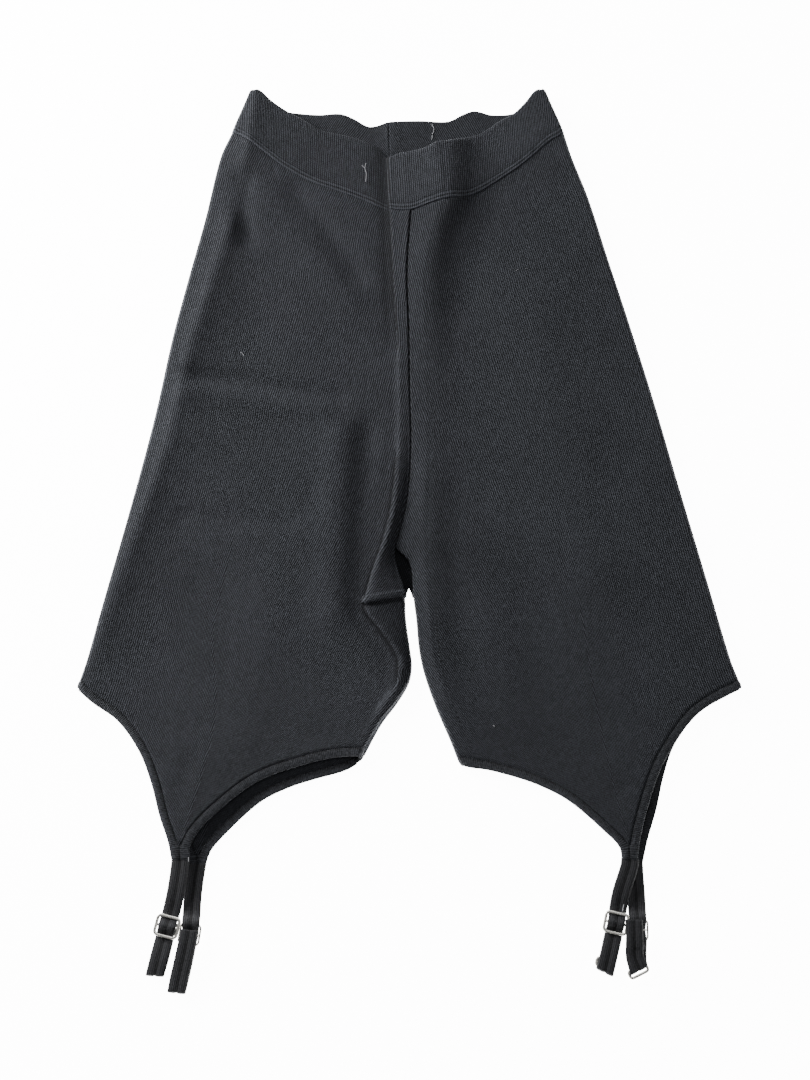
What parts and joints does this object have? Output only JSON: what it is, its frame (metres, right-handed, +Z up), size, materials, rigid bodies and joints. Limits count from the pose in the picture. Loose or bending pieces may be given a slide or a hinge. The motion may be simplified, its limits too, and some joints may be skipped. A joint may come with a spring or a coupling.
{
  "type": "bike shorts",
  "caption": "High-waisted knit bike shorts laid flat, with a doubled waistband and leg hems cut to tongues that carry garter straps with metal sliders.",
  "frame": {"origin": "centre of the garment's outline on the surface that it lies on", "axes": "+Y towards the waist, +X towards the viewer's right as the garment lies face up, +Z up from the surface"},
  "size_m": [0.4599, 0.6477, 0.0136],
  "materials": {
    "knit": "fine heavy knit, matt",
    "binding": "narrow bound edge of the same knit",
    "tape": "woven elastic tape, matt",
    "metal": "polished pale nickel"
  },
  "bodies": {
    "root": {"waistband": "knit", "left_leg": "knit", "right_leg": "knit", "left_inner_binding": "binding", "left_outer_binding": "binding", "right_inner_binding": "binding", "right_outer_binding": "binding", "left_front_strap": "tape", "left_back_strap": "tape", "right_front_strap": "tape", "right_back_strap": "tape", "left_front_slider": "metal", "left_back_slider": "metal", "right_front_slider": "metal", "right_back_slider": "metal", "right_back_ring": "metal", "right_front_ring": "metal"}
  },
  "joints": []
}
